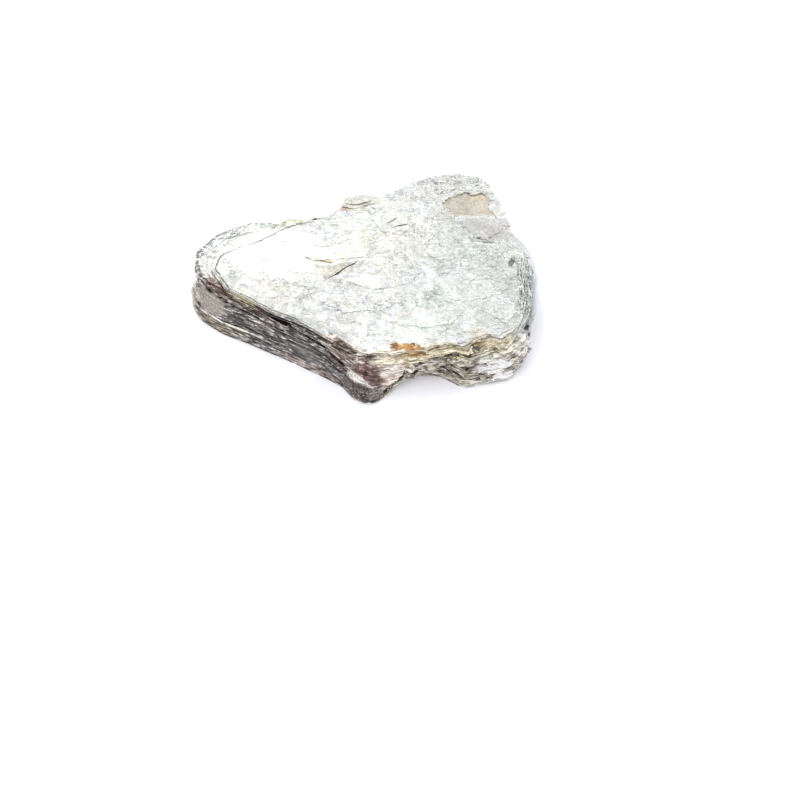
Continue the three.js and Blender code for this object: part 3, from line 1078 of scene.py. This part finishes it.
# From and to in degrees round, height, and how far they stand out, in mm.
CLEAR_SHEETS = [(-31, 18, 11.9, 2.9), (-26, 23, 11.2, 2.5), (-36, 6, 10.5, 2.2), (-20, 12, 9.6, 1.8)]
CLEAR_THICK = 0.14
CLEAR_TUCKED = 4  # how far their inner edge is in from the rim


def clear_sheets():
    """Thin clear sheets that stand out of the right end."""
    made = []
    for number, (start, end, level, out) in enumerate(CLEAR_SHEETS):
        angle = np.radians(np.linspace(start, end, 60))
        bulge = out * np.sin(math.pi * np.linspace(0, 1, 60)) ** 0.5
        reach = brow_radius(angle) + bulge - 1.2 + 0.25 * broken(700 + number, 2.5, angle)
        inner = brow_radius(angle) - CLEAR_TUCKED
        outline = np.vstack([polar(angle, reach), polar(angle, inner)[::-1]])
        made.append(sheet("clear_sheet", outline, level, CLEAR_THICK))
    clear = joined(made[0], made[1:])
    clear.name = "clear_sheets"
    in_triangles(clear)
    undulate(clear, "clear waves", 9, 0.8, lambda x, y, z: rising(z))
    return clear


def clear_finish():
    f = Finish("clear mica")
    shader = f.node("ShaderNodeBsdfPrincipled", {}, {
        "Base Color": (0.97, 0.98, 0.98, 1), "Roughness": 0.22, "IOR": MICA_IOR, "Transmission Weight": 1.0})
    depth = f.node("ShaderNodeVolumeAbsorption", {}, {"Color": (0.88, 0.90, 0.90, 1), "Density": 2200.0})
    return f.done(Surface=shader, Volume=depth)


def finished(piece, finish):
    """Gives a piece its finish and smooth shading, puts it on the root body, and hides the mica_book solid
    that it stands in for.
    """
    piece.data.materials.clear()
    piece.data.materials.append(finish)
    cleared()
    bpy.context.view_layer.objects.active = piece
    piece.select_set(True)
    bpy.ops.object.shade_smooth_by_angle(angle=math.radians(CREASE))
    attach(piece, "root")
    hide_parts("mica_book")


finished(book, mica_finish())
finished(clear_sheets(), clear_finish())


# Floor, light and camera.

FLOOR_SIZE = 6.0
LOOK_AT = Vector((0.209 * HALF_LONG, -0.955 * HALF_DEEP, 0)) * MM
LOOK_DOWN = 44  # degrees below level
CAMERA_AWAY = 0.4722
LENS = 85


def plain_finish(name, colour):
    f = Finish(name)
    values = {"Base Color": colour, "Roughness": 0.9, "Specular IOR Level": 0.0}
    return f.done(Surface=f.node("ShaderNodeBsdfPrincipled", {}, values))


def aimed(item, place, target):
    item.location = place
    item.rotation_euler = (Vector(target) - Vector(place)).to_track_quat("-Z", "Y").to_euler()


def soft_light(name, place, target, size, watts, colour):
    bpy.ops.object.light_add(type="AREA")
    light = bpy.context.object
    light.name = name
    light.data.size = size
    light.data.energy = watts
    light.data.color = colour
    aimed(light, place, target)


bpy.ops.mesh.primitive_plane_add(size=FLOOR_SIZE)
floor = bpy.context.object
floor.name = "floor"
floor.data.materials.append(plain_finish("white floor", (0.955, 0.955, 1.0, 1)))

soft_light("overhead", (0.0, -0.1, 1.2), (0, 0, 0), 1.6, 8, (1, 0.985, 0.96))
soft_light("front fill", (0.0, -0.8, 0.75), (0, 0, 0), 0.9, 7, (0.99, 0.99, 1))
soft_light("far sheen", (-0.13, 0.46, 0.46), (-0.01, 0, 0), 0.26, 0.9, (1, 1, 1))

world = bpy.data.worlds.new("pale room")
bpy.context.scene.world = world
world.use_nodes = True
room = world.node_tree.nodes["Background"]
room.inputs["Color"].default_value = (0.93, 0.95, 1.0, 1)
room.inputs["Strength"].default_value = 0.66

bpy.ops.object.camera_add()
camera = bpy.context.object
camera.data.lens = LENS
camera.data.sensor_width = 36
down = math.radians(LOOK_DOWN)
aimed(camera, LOOK_AT + Vector((0, -math.cos(down), math.sin(down))) * CAMERA_AWAY, LOOK_AT)
bpy.context.scene.camera = camera
bpy.context.scene.view_settings.view_transform = "Standard"
